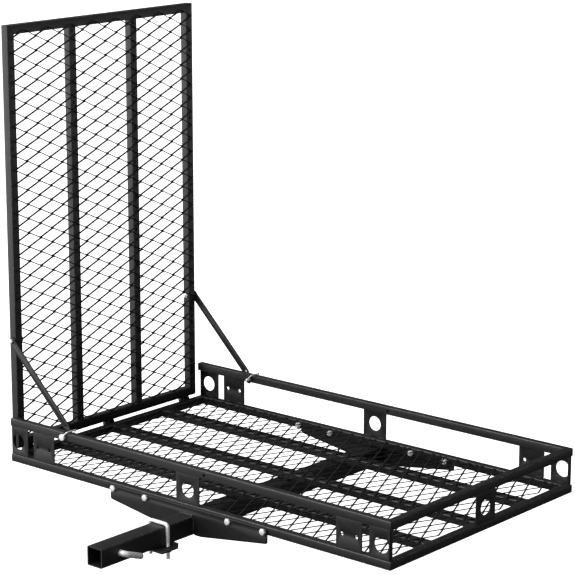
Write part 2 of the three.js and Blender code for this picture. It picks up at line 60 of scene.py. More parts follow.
DECK_LENGTH, DECK_WIDTH = 1300.0, 762.0
FRAME = 22.0                     # square tube round the deck
BAR_HEIGHT = 19.0                # channels along the deck
BAR_YS = (178, 381, 584)
MITRE_A, MITRE_B = (1, 1, 0), (1, -1, 0)      # normals of the cuts at the deck's corners

RAIL_TOP, RAIL_HEIGHT, RAIL_WIDTH = 121.0, 22.0, 20.0
RAIL_Z = RAIL_TOP - RAIL_HEIGHT / 2
POST_BOTTOM = FRAME + 0.1
POST_TOP = RAIL_TOP - RAIL_HEIGHT + 0.9
POST_HOLE_Z = 59.5
END_HOLE, SMALL_HOLE, MIDDLE_HOLE = (21.5, 48), (4.75, 24), (20.5, 48)   # radius, segments

RAMP_X0, RAMP_X1 = -24.5, -1.5
RAMP_Y0, RAMP_Y1 = 28.0, 734.0
RAMP_Z0, RAMP_Z1 = 28.5, 1176.0
RAMP_X = (RAMP_X0 + RAMP_X1) / 2
RAMP_DEPTH = RAMP_X1 - RAMP_X0
RAMP_BAR = 25.0                  # width of the ramp's tubes seen along X
RAMP_MIDDLE_YS = (264.5, 497.5)

HINGE_X, HINGE_Z = -11.5, 20.0
HINGE_YS = (70.0, 381.0, 692.0)
ARM_TOP = (-11.5, 329.0)         # X, Z of the arm's pivot on the ramp
LOCK_PIN = (203.5, 108.5)        # X, Z of the lock pin through the side rail

TUBE_X, TUBE_Z = DECK_LENGTH / 2, -28.3
HITCH_PIN_Y = -266.0
CLIP_X = 610.5                   # cross hole in the hitch pin
BRACKET_BOLT_XS = (392.0, 507.5, 792.5, 908.0)
BRACKET_BOLT_Z = 9

U_BOLT_Y = -104.5
U_BOLT_LEG = 30.3                # each leg's distance from the middle of the tube
U_BOLT_RADIUS = 5.0
CLAMP_Z0, CLAMP_Z1 = -59.0, -54.0

LARGE_BOLT = dict(across=15.5, head=6.0, radius=5.0, length=39)
LARGE_NUT = dict(across=15.5, height=8.0, bore=5.05)
SMALL_BOLT = dict(across=13, head=5.3, radius=4.0)
SMALL_NUT = dict(across=13, height=6.5, bore=4.05)


# ------------------------------------------------------------------- materials
class Shader:
    """A node tree, with short calls for the nodes used here."""

    def __init__(self, tree):
        self.tree = tree
        self.place = None

    def node(self, kind):
        return self.tree.nodes.new("ShaderNode" + kind)

    def feed(self, value, socket):
        """Link an output to the socket, or set the socket to a number or a colour."""
        if isinstance(value, bpy.types.NodeSocket):
            self.tree.links.new(value, socket)
        else:
            socket.default_value = (*value, 1) if isinstance(value, tuple) else value

    def noise(self, scale, detail=3.0, roughness=0.55, stretch=None):
        if self.place is None:
            self.place = self.node("TexCoord").outputs["Object"]
        texture = self.node("TexNoise")
        texture.inputs["Scale"].default_value = scale
        texture.inputs["Detail"].default_value = detail
        texture.inputs["Roughness"].default_value = roughness
        place = self.place
        if stretch:
            mapping = self.node("Mapping")
            mapping.inputs["Scale"].default_value = stretch
            self.feed(place, mapping.inputs["Vector"])
            place = mapping.outputs[0]
        self.feed(place, texture.inputs["Vector"])
        return texture.outputs["Fac"]

    def ramp(self, value, start, end, low=0.0, high=1.0):
        """Goes from low at start to high at end."""
        node = self.node("ValToRGB")
        stops = ((start, low), (end, high))
        for element, (position, grey) in zip(node.color_ramp.elements, stops):
            element.position = position
            element.color = (grey, grey, grey, 1)
        self.feed(value, node.inputs[0])
        return node.outputs[0]

    def math(self, operation, a, b, clamp=False):
        node = self.node("Math")
        node.operation = operation
        node.use_clamp = clamp
        self.feed(a, node.inputs[0])
        self.feed(b, node.inputs[1])
        return node.outputs[0]

    def add(self, a, b, clamp=False):
        return self.math("ADD", a, b, clamp)

    def multiply(self, a, b):
        return self.math("MULTIPLY", a, b)

    def mix(self, factor, a, b):
        """Blend of two colours."""
        node = self.node("Mix")
        node.data_type = "RGBA"
        for index, value in ((0, factor), (6, a), (7, b)):
            self.feed(value, node.inputs[index])
        return node.outputs[2]

    def edge_mark(self):
        """The value each face carries: 1 on the faces along an edge and on welds given a painted
        highlight.
        """
        node = self.node("Attribute")
        node.attribute_name = "edge"
        return node.outputs["Fac"]

    def split(self, vector):
        node = self.node("SeparateXYZ")
        self.feed(vector, node.inputs[0])
        return node.outputs

    def bump(self, layers):
        """Normal from stacked bumps of (height, strength, distance)."""
        normal = None
        for height, strength, distance in layers:
            node = self.node("Bump")
            node.inputs["Strength"].default_value = strength
            node.inputs["Distance"].default_value = distance
            self.feed(height, node.inputs["Height"])
            if normal is not None:
                self.feed(normal, node.inputs["Normal"])
            normal = node.outputs[0]
        return normal

    def side_glow(self, vector, side, start, end, dark, bright):
        """Brightness that rises from dark to bright along the horizontal direction side."""
        parts = self.split(vector)
        reach = self.add(self.multiply(parts["X"], side[0]), self.multiply(parts["Y"], side[1]))
        share = self.math("DIVIDE", self.math("SUBTRACT", reach, start), end - start, clamp=True)
        return self.add(self.multiply(share, bright - dark), dark)


def new_material(name):
    """A material with its shader, a Principled node's inputs, and output() to show a node."""
    material = bpy.data.materials.new(name)
    material.use_nodes = True
    shader = Shader(material.node_tree)
    shader.tree.nodes.clear()
    output = shader.node("OutputMaterial")
    surface = shader.node("BsdfPrincipled")
    return material, shader, surface, output


def powder_coat(name, base=0.008, rough=0.42, wear_and_highlight=0.5, peel=1.0, dust=0.5, specular=0.5):
    """Satin black coat: orange peel, uneven sheen, a trace of dust, edges lighter from rubbing and
    from a painted highlight.
    """
    dust_colour = (0.075, 0.072, 0.068)
    rubbed_and_highlight_colour = (0.045, 0.045, 0.047)
    bare_colour = (0.20, 0.20, 0.205)
    low_tone = tuple(base * k for k in (0.8, 0.8, 0.84))
    high_tone = tuple(base * k for k in (1.25, 1.24, 1.24))

    material, shader, surface, output = new_material(name)
    shader.feed(surface.outputs[0], output.inputs[0])
    broad = shader.noise(scale=5.0, detail=4.0)
    mottle = shader.noise(scale=70.0, detail=4.0, roughness=0.6)
    fine = shader.noise(scale=1500.0, detail=2.0)
    grit = shader.noise(scale=420.0, detail=5.0, roughness=0.7)

    # worn edges: rubbed lighter in patches, which also paints a highlight along the edges, and
    # chipped to bare metal in spots
    wear_and_highlight_mark = shader.edge_mark()
    chip_noise = shader.noise(scale=130.0, detail=6.0, roughness=0.75)
    chips = shader.ramp(chip_noise, start=0.50, end=0.62)
    rub_noise = shader.noise(scale=22.0, detail=3.0, roughness=0.6)
    rub = shader.ramp(rub_noise, start=0.35, end=0.7, low=0.25)
    edge = shader.multiply(wear_and_highlight_mark, shader.multiply(rub, wear_and_highlight))
    bare = shader.multiply(edge, shader.multiply(chips, 0.55))    # most a chip shows

    # dust settled in patches on faces that look up
    normal = shader.node("NewGeometry").outputs["Normal"]
    upward = shader.ramp(shader.split(normal)["Z"], start=0.75, end=1.0)
    patches = shader.ramp(mottle, start=0.4, end=0.75)
    settled = shader.multiply(shader.multiply(upward, patches), 0.22 * dust)

    colour = shader.mix(shader.ramp(broad, start=0.3, end=0.7), low_tone, high_tone)
    colour = shader.mix(settled, colour, dust_colour)
    # painted highlight: the marked edges and welds turn lighter, along with the rubbed wear
    colour = shader.mix(shader.multiply(edge, 0.5), colour, rubbed_and_highlight_colour)
    colour = shader.mix(bare, colour, bare_colour)
    shader.feed(colour, surface.inputs["Base Color"])

    # grit and dust roughen the sheen, rubbing polishes it
    sheen = shader.ramp(mottle, start=0.25, end=0.75, low=rough - 0.06, high=rough + 0.08)
    sheen = shader.add(sheen, shader.multiply(grit, 0.05))
    sheen = shader.add(sheen, shader.multiply(settled, 0.5))
    sheen = shader.math("SUBTRACT", sheen, shader.multiply(edge, 0.10), clamp=True)
    shader.feed(sheen, surface.inputs["Roughness"])
    surface.inputs["Specular IOR Level"].default_value = specular
    # height, strength, distance in metres
    layers = [(fine, 0.22 * peel, 0.00012), (grit, 0.16 * peel, 0.0003), (broad, 0.10, 0.004)]
    shader.feed(shader.bump(layers), surface.inputs["Normal"])
    return material


def bright_metal(name, colour, rough, scratch, tint, metallic):
    """Plated steel: faint plating tint, fine scratches, and smears in its roughness."""
    warm = tuple(c * f for c, f in zip(colour, (1.0, 0.965, 0.90)))
    cool = tuple(c * f for c, f in zip(colour, (0.93, 0.97, 1.0)))
    # painted highlight: marked edges a little lighter than the plating
    edge_highlight_colour = tuple(min(1.0, c * 1.12) for c in colour)

    material, shader, surface, output = new_material(name)
    shader.feed(surface.outputs[0], output.inputs[0])
    cloudy = shader.noise(scale=90.0, detail=4.0, roughness=0.6)
    smear = shader.noise(scale=26.0, detail=5.0, roughness=0.65, stretch=(1, 5, 1))
    line = shader.noise(scale=900.0, detail=3.0, roughness=0.6, stretch=(1, 1, 0.08))

    tinted = shader.mix(shader.ramp(cloudy, start=0.3, end=0.7), cool, warm)
    shade = shader.mix(tint, colour, tinted)
    shade = shader.mix(shader.multiply(shader.edge_mark(), 0.35), shade, edge_highlight_colour)
    shader.feed(shade, surface.inputs["Base Color"])
    surface.inputs["Metallic"].default_value = metallic

    sheen = shader.ramp(smear, start=0.3, end=0.75, low=rough, high=rough + 0.12)
    sheen = shader.add(sheen, shader.multiply(line, scratch * 0.25), clamp=True)
    shader.feed(sheen, surface.inputs["Roughness"])
    # height, strength, distance in metres
    layers = [(line, scratch * 0.3, 0.00006), (cloudy, 0.12, 0.0003)]
    shader.feed(shader.bump(layers), surface.inputs["Normal"])
    return material


# Each finish is a material and the name of its slot. The plain coat is a spare, on no piece.
powder_coat("powder_coat")
COAT_RAIL = powder_coat("powder_coat_rails", rough=0.40, wear_and_highlight=0.8), "black_coat"
# painted shade: a darker copy of the same black coat for the pieces low down and under the deck
COAT_SHADED_LOW = powder_coat("powder_coat_under_shaded", base=0.006, wear_and_highlight=0.9, dust=0.25), "black_coat"
COAT_MESH = powder_coat("powder_coat_mesh", base=0.004, rough=0.55, wear_and_highlight=0.15, peel=0.8,
                        dust=0.12, specular=0.22), "black_mesh"
ZINC = bright_metal("zinc_plate", colour=(0.92, 0.925, 0.93), rough=0.28, scratch=0.5,
                    tint=0.5, metallic=0.45), "zinc_hardware"
CHROME = bright_metal("chrome_plate", colour=(0.93, 0.935, 0.945), rough=0.18, scratch=0.25,
                      tint=0.25, metallic=0.40), "chrome_hardware"


# --------------------------------------------------------------- mesh and pieces
class Shell:
    """Points and faces in millimetres, with a mark on the faces that lie on an edge and on welds
    given a painted highlight.
    """

    def __init__(self):
        self.points, self.faces, self.marks = [], [], []

    def add(self, points, faces, marks=None):
        first = len(self.points)
        self.points.extend(tuple(map(float, p)) for p in points)
        self.faces.extend(tuple(i + first for i in face) for face in faces)
        self.marks.extend([0] * len(faces) if marks is None else marks)
        return self

    def join(self, *others):
        for other in others:
            self.add(other.points, other.faces, other.marks)
        return self

    def on_side(self, side):
        """Itself at the front; mirrored about the middle of the deck at the rear."""
        if side == "front":
            return self
        points = [(x, DECK_WIDTH - y, z) for x, y, z in self.points]
        return Shell().add(points, [face[::-1] for face in self.faces], self.marks)

    def mesh(self, name):
        mesh = bpy.data.meshes.new(name)
        mesh.from_pydata((np.array(self.points, float) / 1000.0 + ORIGIN).tolist(), [], self.faces)
        mesh.validate()
        mesh.update()
        work = bmesh.new()
        work.from_mesh(mesh)
        bmesh.ops.recalc_face_normals(work, faces=work.faces)
        work.to_mesh(mesh)
        work.free()
        # the marks only match if validation has dropped no face
        if len(mesh.polygons) == len(self.marks):
            edge = mesh.attributes.new("edge", "FLOAT", "FACE")
            edge.data.foreach_set("value", np.array(self.marks, np.float32))
        return mesh


def link_object(name, data):
    obj = bpy.data.objects.new(name, data)
    scene.collection.objects.link(obj)
    return obj


def piece(name, shell, finish, body, replaced):
    """An object that moves with a body and takes the place of a CAD piece."""
    material, slot = finish
    mesh = shell.mesh(name)
    obj = link_object(name, mesh)
    mesh.materials.append(material)
    mesh.polygons.foreach_set("use_smooth", [True] * len(mesh.polygons))
    mesh.set_sharp_from_angle(angle=math.radians(32.0))
    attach(obj, body)
    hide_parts(replaced)


def drilled(shell, cutters):
    """The shell with each cutter's solid taken away."""
    obj = link_object("work", shell.mesh("work"))
    tools = []
    for cutter in cutters:
        tool = link_object("tool", cutter.mesh("tool"))
        tools.append(tool)
        cut = obj.modifiers.new("cut", "BOOLEAN")
        cut.operation = "DIFFERENCE"
        cut.solver = "EXACT"
        cut.object = tool
    depsgraph = bpy.context.evaluated_depsgraph_get()
    mesh = bpy.data.meshes.new_from_object(obj.evaluated_get(depsgraph))
    for used in [obj] + tools:
        bpy.data.objects.remove(used)

    flat = np.zeros(len(mesh.vertices) * 3)
    mesh.vertices.foreach_get("co", flat)
    points = (flat.reshape(-1, 3) - ORIGIN) * 1000.0
    marks = [0.0] * len(mesh.polygons)
    # absent if validation dropped a face before the cut
    if "edge" in mesh.attributes:
        mesh.attributes["edge"].data.foreach_get("value", marks)
    return Shell().add(points.tolist(), [tuple(p.vertices) for p in mesh.polygons], marks)


# --------------------------------------------------------------- flat outlines
def double_area(loop):
    return sum(a[0] * b[1] - b[0] * a[1] for a, b in zip(loop, loop[1:] + loop[:1]))


def clean(points, tolerance=1e-4):
    """The loop without repeated points."""
    out = []
    for p in points:
        if not out or math.hypot(p[0] - out[-1][0], p[1] - out[-1][1]) > tolerance:
            out.append((float(p[0]), float(p[1])))
    if math.hypot(out[0][0] - out[-1][0], out[0][1] - out[-1][1]) <= tolerance:
        out.pop()
    return out


def offset(points, distance):
    """A counter-clockwise loop moved inwards."""
    out = []
    for i, b in enumerate(points):
        a, c = points[i - 1], points[(i + 1) % len(points)]
        before, after = (b[0] - a[0], b[1] - a[1]), (c[0] - b[0], c[1] - b[1])
        len0, len1 = math.hypot(*before), math.hypot(*after)
        normal0 = (-before[1] / len0, before[0] / len0)
        normal1 = (-after[1] / len1, after[0] / len1)
        # limited so that a sharp corner doesn't run away
        spread = max(1 + normal0[0] * normal1[0] + normal0[1] * normal1[1], 0.35)
        out.append((b[0] + distance * (normal0[0] + normal1[0]) / spread,
                    b[1] + distance * (normal0[1] + normal1[1]) / spread))
    return out


def circle(u, v, radius, n):
    turns = [2 * math.pi * i / n for i in range(n)]
    return [(u + radius * math.cos(t), v + radius * math.sin(t)) for t in turns]


def arc(u, v, radius, start, end, n):
    """Points from one angle to another, in degrees."""
    turns = [math.radians(start + (end - start) * i / n) for i in range(n + 1)]
    return [(u + radius * math.cos(t), v + radius * math.sin(t)) for t in turns]


def rounded_rect(u0, u1, v0, v1, r, n=4):
    return (arc(u1 - r, v1 - r, r, 0, 90, n) + arc(u0 + r, v1 - r, r, 90, 180, n)
            + arc(u0 + r, v0 + r, r, 180, 270, n) + arc(u1 - r, v0 + r, r, 270, 360, n))


def soften(points, radius, steps=3):
    """A counter-clockwise outline with each outward corner rounded where there is room."""
    out = []
    for i in range(len(points)):
        a, b, c = (np.array(points[j % len(points)], float) for j in (i - 1, i, i + 1))
        u, w = a - b, c - b
        len_u, len_w = np.linalg.norm(u), np.linalg.norm(w)
        u, w = u / len_u, w / len_w
        turn = -(u[0] * w[1] - u[1] * w[0])
        angle = math.acos(max(-1, min(1, float(u @ w))))
        setback = radius / math.tan(angle / 2)
        if turn < 0.02 or setback > 0.45 * min(len_u, len_w):
            out.append(tuple(b))
            continue
        start = b + u * radius / math.tan(angle / 2)
        end = b + w * radius / math.tan(angle / 2)
        centre = b + (u + w) / np.linalg.norm(u + w) * radius / math.sin(angle / 2)
        a0 = math.atan2(*(start - centre)[::-1])
        a1 = math.atan2(*(end - centre)[::-1])
        while a1 < a0:
            a1 += 2 * math.pi
        for k in range(steps + 1):
            t = a0 + (a1 - a0) * k / steps
            out.append((centre[0] + radius * math.cos(t), centre[1] + radius * math.sin(t)))
    return out


# --------------------------------------------------------------------- solids
def band(rows, n, first=0, inward=False):
    """Faces between successive closed rows of n points."""
    faces = []
    for i in range(rows - 1):
        for j in range(n):
            a, b = first + i * n + j, first + i * n + (j + 1) % n
            faces.append((a, a + n, b + n, b) if inward else (a, b, b + n, a + n))
    return faces


def caps(rows, n):
    """The faces that close the first and last rows."""
    return [tuple(range(n))[::-1], tuple((rows - 1) * n + j for j in range(n))]


def flat_vectors(loop):
    return [Vector((p[0], p[1], 0)) for p in loop]


def plate(outline, holes, axis, low, high, bevel):
    """A flat plate with broken edges and counter-clockwise holes, from low to high on axis."""
    hole_bevel = 0.3
    place = {"x": lambda u, v, w: (w, u, v),
             "y": lambda u, v, w: (u, w, v),
             "z": lambda u, v, w: (u, v, w)}[axis]
    outline = clean(outline)
    if double_area(outline) < 0:
        outline = outline[::-1]
    points, faces, marks = [], [], []
    flat_loops, bottom, top = [], [], []
    for loop, inset in [(outline, bevel)] + [(hole, -hole_bevel) for hole in holes]:
        small, middle = offset(loop, inset), offset(loop, 0.29 * inset)
        depth = abs(inset)
        levels = [(small, low), (middle, low + 0.29 * depth), (loop, low + depth),
                  (loop, high - depth), (middle, high - 0.29 * depth), (small, high)]
        first, n = len(points), len(loop)
        for level, height in levels:
            points += [place(u, v, height) for u, v in level]
        faces += band(6, n, first)
        marks += [0 if k == 2 else 1 for k in range(5) for _ in range(n)]
        flat_loops.append(flat_vectors(small))
        bottom += range(first, first + n)
        top += range(first + 5 * n, first + 6 * n)
    for a, b, c in tessellate_polygon(flat_loops):
        faces += [(bottom[a], bottom[b], bottom[c]), (top[a], top[c], top[b])]
        marks += [0, 0]
    return Shell().add(points, faces, marks)


def bar(profile, start, end, u_dir, v_dir, cuts=None, hollow=None):
    """A straight section. cuts are the normals of its end planes, square to it by default;
    hollow is an inner loop with as many points as the profile."""
    start, end, u_dir, v_dir = (np.array(p, float) for p in (start, end, u_dir, v_dir))
    along = (end - start) / np.linalg.norm(end - start)
    cuts = [np.array(cut, float) for cut in cuts or (along, along)]

    def ends(loop):
        out = []
        for point, normal in zip((start, end), cuts):
            for u, v in loop:
                q = u_dir * u + v_dir * v
                out.append(point + q - along * (q @ normal) / (along @ normal))
        return out

    n = len(profile)
    points, faces = ends(profile), band(2, n)
    # short sides are rounded corners
    marks = [1 if math.hypot(b[0] - a[0], b[1] - a[1]) < 1.4 else 0
             for a, b in zip(profile, profile[1:] + profile[:1])]
    if hollow is None:
        for t in tessellate_polygon([flat_vectors(profile)]):
            faces += [tuple(t), tuple(n + i for i in reversed(t))]
            marks += [0, 0]
        return Shell().add(points, faces, marks)
    inner = 2 * n
    points += ends(hollow)
    faces += band(2, n, inner, inward=True)
    marks += [0] * n
    for i in range(n):
        j = (i + 1) % n
        faces.append((i, inner + i, inner + j, j))
        faces.append((n + i, n + j, inner + n + j, inner + n + i))
        marks += [1, 1]
    return Shell().add(points, faces, marks)


def tube(start, end, u_dir, v_dir, u_size, v_size, cuts=None, wall=1.6, r=2.2):
    """A rectangular tube with outer corner radius r."""
    u, v = u_size / 2, v_size / 2
    outer = rounded_rect(-u, u, -v, v, r)
    inner = rounded_rect(-u + wall, u - wall, -v + wall, v - wall, max(0.6, r - wall + 0.2))
    return bar(outer, start, end, u_dir, v_dir, cuts, hollow=inner)


def square_vectors(direction):
    """Two unit vectors square to a unit direction and to each other."""
    up = np.array((0, 0, 1.0)) if abs(direction[2]) < 0.9 else np.array((1.0, 0, 0))
    a = np.cross(direction, up)
    a /= np.linalg.norm(a)
    return a, np.cross(direction, a)


def rod(points, radii, n):
    """A round rod through points, with one radius or a radius at each."""
    p = np.array(points, float)
    steps = p[1:] - p[:-1]
    steps = steps / np.linalg.norm(steps, axis=1)[:, None]
    tangents = np.zeros_like(p)
    tangents[0], tangents[-1] = steps[0], steps[-1]
    middle = steps[:-1] + steps[1:]
    tangents[1:-1] = middle / np.linalg.norm(middle, axis=1)[:, None]
    # square vectors carried along the path without twist
    a, b = square_vectors(tangents[0])
    across, up = [a], [b]
    for tangent in tangents[1:]:
        a = across[-1] - tangent * (across[-1] @ tangent)
        a /= np.linalg.norm(a)
        across.append(a)
        up.append(np.cross(tangent, a))
    across, up = np.array(across)[:, None], np.array(up)[:, None]
    radii = np.full(len(p), float(radii)) if np.isscalar(radii) else np.array(radii, float)
    turns = 2 * np.pi * np.arange(n) / n
    cos, sin = np.cos(turns)[None, :, None], np.sin(turns)[None, :, None]
    rows = p[:, None] + radii[:, None, None] * (cos * across + sin * up)
    return Shell().add(rows.reshape(-1, 3), band(len(p), n) + caps(len(p), n))


def bent(points, radius, steps=8):
    """A path of straight runs with rounded corners; radius is one value or one per point."""
    path = [np.array(p, float) for p in points]
    radii = [radius] * len(path) if np.isscalar(radius) else radius
    out = [path[0]]
    for a, b, c, r in zip(path, path[1:], path[2:], radii[1:]):
        u, w = (a - b) / np.linalg.norm(a - b), (c - b) / np.linalg.norm(c - b)
        half = math.acos(max(-1, min(1, float(u @ w)))) / 2
        centre = b + (u + w) / np.linalg.norm(u + w) * r / math.sin(half)
        start = b + u * r / math.tan(half) - centre
        end = b + w * r / math.tan(half) - centre
        axis = np.cross(start, end)
        axis /= np.linalg.norm(axis)
        sweep = math.acos(max(-1, min(1, float(start @ end) / r / r)))
        for k in range(steps + 1):
            turn = Matrix.Rotation(sweep * k / steps, 3, Vector(axis))
            out.append(centre + np.array(turn @ Vector(start)))
    out.append(path[-1])
    return out


def hex_radius(turn, across):
    """Distance from the centre of a hexagon to its side at an angle."""
    return across / 2 / math.cos((turn % (math.pi / 3)) - math.pi / 6)


def turned_points(profile, base, direction, n, across=None):
    """Rows of points round an axis at (distance, radius), kept inside a hexagon if given."""
    d = np.array(direction, float)
    d /= np.linalg.norm(d)
    a, b = square_vectors(d)
    base = np.array(base, float)
    points = []
    for distance, radius in profile:
        for i in range(n):
            t = 2 * math.pi * i / n
            r = min(radius, hex_radius(t, across)) if across else radius
            points.append(base + d * distance + (a * math.cos(t) + b * math.sin(t)) * r)
    return points


def lathe(profile, base, direction, n):
    """A turned solid from (distance along, radius) pairs, closed with flat ends."""
    rows = len(profile)
    return Shell().add(turned_points(profile, base, direction, n), band(rows, n) + caps(rows, n))


def ring_lathe(profile, base, direction, n):
    """A turned ring: the profile closes on itself."""
    last = (len(profile) - 1) * n
    closing = [(last + j, last + (j + 1) % n, (j + 1) % n, j) for j in range(n)]
    points = turned_points(profile, base, direction, n)
    return Shell().add(points, band(len(profile), n) + closing)


def cylinder(start, end, radius, base, direction, n):
    return lathe([(start, radius), (end, radius)], base, direction, n)


def thread(start, end, radius, pitch, depth):
    """Profile points of a cut thread; a negative depth cuts it into a hole."""
    count = round((end - start) / pitch)
    p = (end - start) / count
    out = []
    for i in range(count):
        out += [(start + i * p + 0.02 * p, radius - depth),
                (start + i * p + 0.42 * p, radius), (start + i * p + 0.60 * p, radius)]
    out.append((end, radius - depth))
    return out


def hexagon(base, direction, across, height, bore=0.0):
    """A bolt head on a round bearing face or, with a bore, a nut with a threaded hole."""
    n = 48
    half = across / 2
    corner = half / math.cos(math.pi / 6)
    chamfer = 0.30 * corner * 0.58
    if bore:
        levels = [(0.0, half * 0.95), (chamfer * 0.5, half * 1.04), (chamfer, corner)]
    else:
        levels = [(0.0, half * 0.93), (0.6, half * 0.93), (0.6, corner)]
    levels += [(height - chamfer, corner), (height - chamfer * 0.5, half * 1.05),
               (height - 0.15, half * 0.95), (height, half * 0.90)]
    rows = len(levels)
    points = turned_points(levels, base, direction, n, across)
    faces = band(rows, n)
    if not bore:
        return Shell().add(points, faces + caps(rows, n))
    inner = [(0.0, bore + 0.5), (0.5, bore)]
    inner += thread(0.5, height - 0.5, bore, pitch=1.4, depth=-0.5)[1:-1]
    inner += [(height - 0.5, bore), (height, bore + 0.5)]
    first = len(points)
    points += turned_points(inner, base, direction, n)
    faces += band(len(inner), n, first, inward=True)
    faces += [(j, first + j, first + (j + 1) % n, (j + 1) % n) for j in range(n)]
    outer_end, inner_end = (rows - 1) * n, first + (len(inner) - 1) * n
    for j in range(n):
        k = (j + 1) % n
        faces.append((outer_end + j, outer_end + k, inner_end + k, inner_end + j))
    return Shell().add(points, faces)


def bolt(base, across, head, radius, length):
    """A bolt pointing along Y, with the underside of its head at base."""
    direction = np.array(Y, float)
    threaded = 14.0
    profile = [(-0.4, radius), (length - threaded, radius)]
    profile += thread(length - threaded + 0.1, length - 1.0, radius, pitch=1.4, depth=0.6)
    profile += [(length, radius - 1.0)]
    return hexagon(base, -direction, across, head).join(lathe(profile, base, direction, 20))


def washer(base, direction, r_in, r_out, thick):
    c = min(0.3, thick * 0.3)
    profile = [(0, r_in + c), (c, r_in), (thick - c, r_in), (thick, r_in + c),
               (thick, r_out - c), (thick - c, r_out), (c, r_out), (0, r_out - c)]
    return ring_lathe(profile, base, direction, 32)


def weld(start, end, radius, pitch=3.0, wear_and_highlight_mark=0.0):
    """A weld bead: a rippled ridge along a seam, seeded by its place; a mark of 1 gives it the
    coat's lighter edge colour as a painted highlight.
    """
    start, end = np.array(start, float), np.array(end, float)
    seed = abs(int(start[0] * 7 + start[1] * 13 + start[2] * 29 + end[0] * 3))
    rng = np.random.default_rng(seed)
    count = int(np.linalg.norm(end - start) / pitch)
    places, radii = [0.0], [0.15 * radius]
    for i in range(count):
        swell = 1.0 + rng.uniform(-0.12, 0.12)
        for q, ripple in ((0.15, 0.86), (0.55, 1.08), (0.95, 0.98)):
            places.append((i + q) / count)
            taper = min(1.0, (i + q) / 0.8, (count - i - q + 0.1) / 0.8)
            radii.append(radius * ripple * swell * max(0.35, taper))
    places.append(1.0)
    radii.append(0.15 * radius)
    bead = rod([start + (end - start) * t + rng.normal(0, 0.12, 3) for t in places], radii, 8)
    bead.marks = [wear_and_highlight_mark] * len(bead.marks)
    return bead


def expanded_metal(u_range, v_range, pitch, phase, tilt, place):
    """Expanded metal, its diamonds pitch[0] long in u and pitch[1] wide in v. Each strand
    zigzags along u between the bond rows, turned on its long axis by tilt degrees, and
    shares a bond with the next strand on either side. place maps (u, v, height) to X, Y, Z."""
    width, thick, bond, c = 4.8, 1.9, 2.4, 0.3    # strand section, half bond, chamfer
    (u0, u1), (v0, v1) = u_range, v_range
    half_u, half_v = pitch[0] / 2, pitch[1] / 2
    cos, sin = math.cos(math.radians(tilt)), math.sin(math.radians(tilt))
    w, t = width / 2, thick / 2
    section = [(-w + c, -t), (w - c, -t), (w, -t + c), (w, t - c),
               (w - c, t), (-w + c, t), (-w, t - c), (-w, -t + c)]
    section = [(a * cos - b * sin, a * sin + b * cos) for a, b in section]
    n = len(section)
    first_row = math.floor((v0 - phase[1]) / half_v) - 1
    last_row = math.ceil((v1 - phase[1]) / half_v) + 1
    first_bond = math.floor((u0 - phase[0]) / half_u) - 2
    last_bond = math.ceil((u1 - phase[0]) / half_u) + 2
    sheet = Shell()
    for k in range(first_row, last_row):
        v_low, v_high = phase[1] + k * pitch[1] / 2, phase[1] + (k + 1) * pitch[1] / 2
        if v_low < v0 + width * 0.55 or v_high > v1 - width * 0.55:
            continue
        path = []
        for i in range(first_bond, last_bond + 1):
            near, far, sign = (v_low, v_high, 1) if (i - k) % 2 == 0 else (v_high, v_low, -1)
            v = near + sign * w * cos * 0.9
            z = sign * w * sin * 0.9
            u = phase[0] + i * pitch[0] / 2
            ease = (far - sign * w * cos * 0.9 - v) * 0.03
            path += [(u - bond - 1.6, v + ease, z * 0.94), (u - bond * 0.6, v, z),
                     (u + bond * 0.6, v, z), (u + bond + 1.6, v + ease, z * 0.94)]
        path = np.array(path)
        inside = path[(path[:, 0] > u0 + 0.5) & (path[:, 0] < u1 - 0.5)]
        ends = [[u, np.interp(u, path[:, 0], path[:, 1]), np.interp(u, path[:, 0], path[:, 2])]
                for u in u_range]
        strand = np.vstack([ends[0], inside, ends[1]])
        rows = len(strand)
        points = [place(u, v + a, z + b) for u, v, z in strand for a, b in section]
        marks = [j % 2 for _ in range(rows - 1) for j in range(n)] + [0, 0]
        sheet.add(points, band(rows, n) + caps(rows, n), marks)
    return sheet


